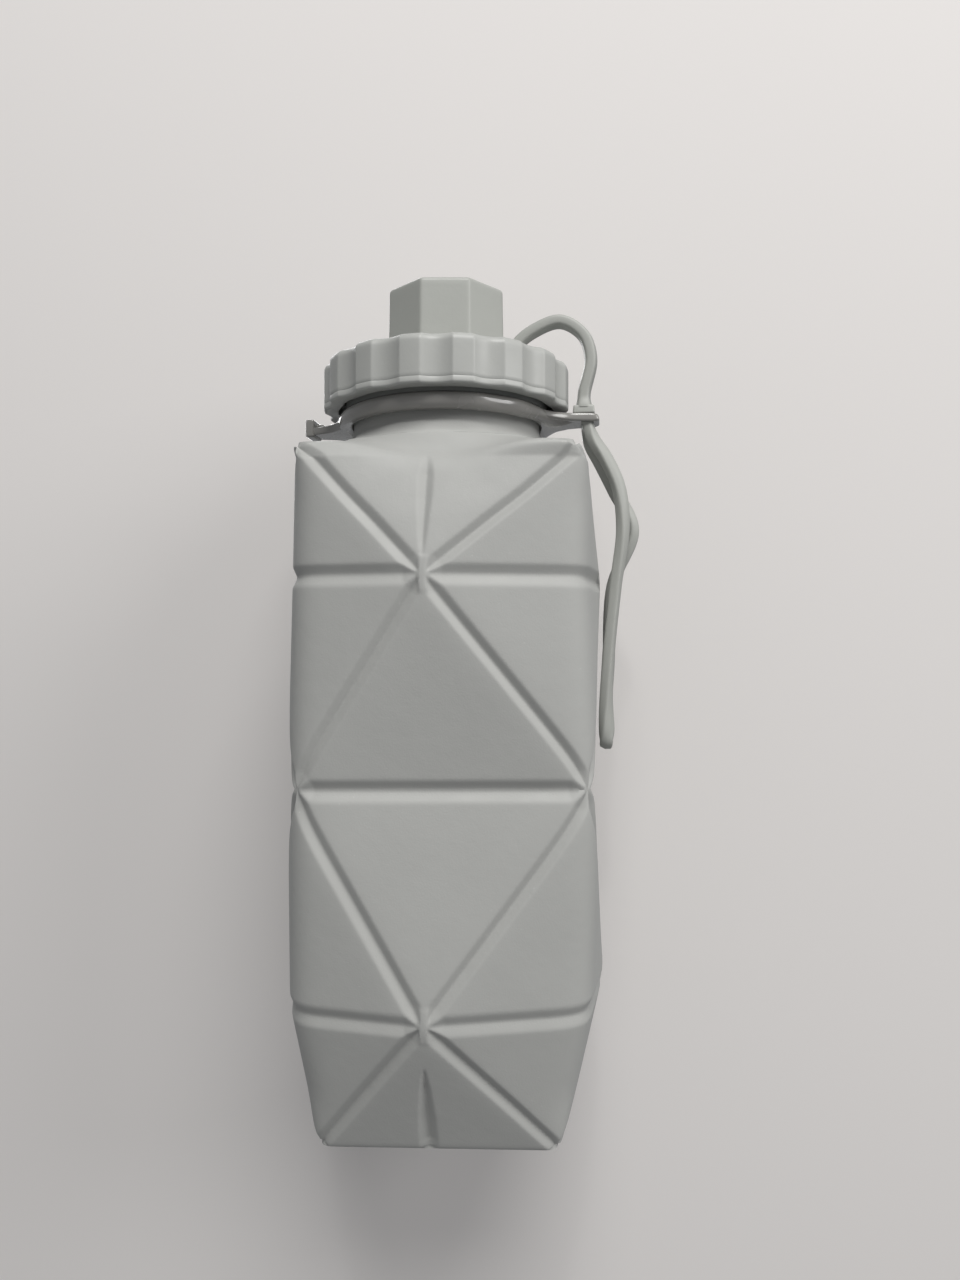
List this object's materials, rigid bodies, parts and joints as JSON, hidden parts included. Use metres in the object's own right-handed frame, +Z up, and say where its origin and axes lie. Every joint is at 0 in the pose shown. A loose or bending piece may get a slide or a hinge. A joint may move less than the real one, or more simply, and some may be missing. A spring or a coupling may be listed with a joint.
{
  "type": "folding water bottle",
  "caption": "Soft square travel water bottle with creased folding walls, scalloped screw lid, octagonal spout cap, tether and wrist strap loop.",
  "frame": {"origin": "centre of the flat base, where the bottle stands", "axes": "+Z up the bottle's axis to the cap, -Y the front face, +X the side with the tether and the wrist strap"},
  "size_m": [0.0918, 0.082, 0.211],
  "materials": {
    "soft_body": "matte",
    "strap_rubber": "matte",
    "ring_rubber": "glossy",
    "seal_rubber": "matte",
    "lid_plastic": "satin",
    "cap_plastic": "satin",
    "neck_plastic": "satin"
  },
  "bodies": {
    "base": {"base_foot": "soft_body", "folding_wall": "soft_body"},
    "neck": {"shoulder": "soft_body", "neck_insert": "neck_plastic", "carry_ring": "ring_rubber", "tether_button": "strap_rubber"},
    "collar": {"tether_collar": "strap_rubber", "tether_strap": "strap_rubber"},
    "lid": {"lid": "lid_plastic", "lid_gasket": "seal_rubber"},
    "seal": {"cap_seal": "seal_rubber"},
    "cap": {"screw_cap": "cap_plastic"},
    "wrist_loop": {"wrist_strap": "strap_rubber"}
  },
  "joints": [
    {"name": "body_fold", "type": "slide", "parent": "base", "child": "neck", "axis": [0, 0, 1], "range_m": [-0.11, 0], "stiffness_N_per_m": 250, "deforming": ["folding_wall"]},
    {"name": "lid_lift", "type": "slide", "parent": "neck", "child": "collar", "axis": [0, 0, 1], "range_m": [0, 0.008], "deforming": ["tether_strap"]},
    {"name": "lid_spin", "type": "hinge", "parent": "collar", "child": "lid", "pos_m": [0, 0, 0.1794], "axis": [0, 0, 1], "range_deg": [0, 720]},
    {"name": "cap_lift", "type": "slide", "parent": "lid", "child": "seal", "axis": [0, 0, 1], "range_m": [0, 0.009]},
    {"name": "cap_spin", "type": "hinge", "parent": "seal", "child": "cap", "pos_m": [0, 0, 0.1932], "axis": [0, 0, 1], "range_deg": [0, 1080]},
    {"name": "strap_swing", "type": "hinge", "parent": "neck", "child": "wrist_loop", "pos_m": [0.0373, 0, 0.1716], "axis": [0, -1, 0], "range_deg": [0, 80]}
  ],
  "couplings": [
    {"joint": "lid_lift", "follows": "lid_spin", "m_per_rad": 0.00063662},
    {"joint": "cap_lift", "follows": "cap_spin", "m_per_rad": 0.00047746}
  ]
}
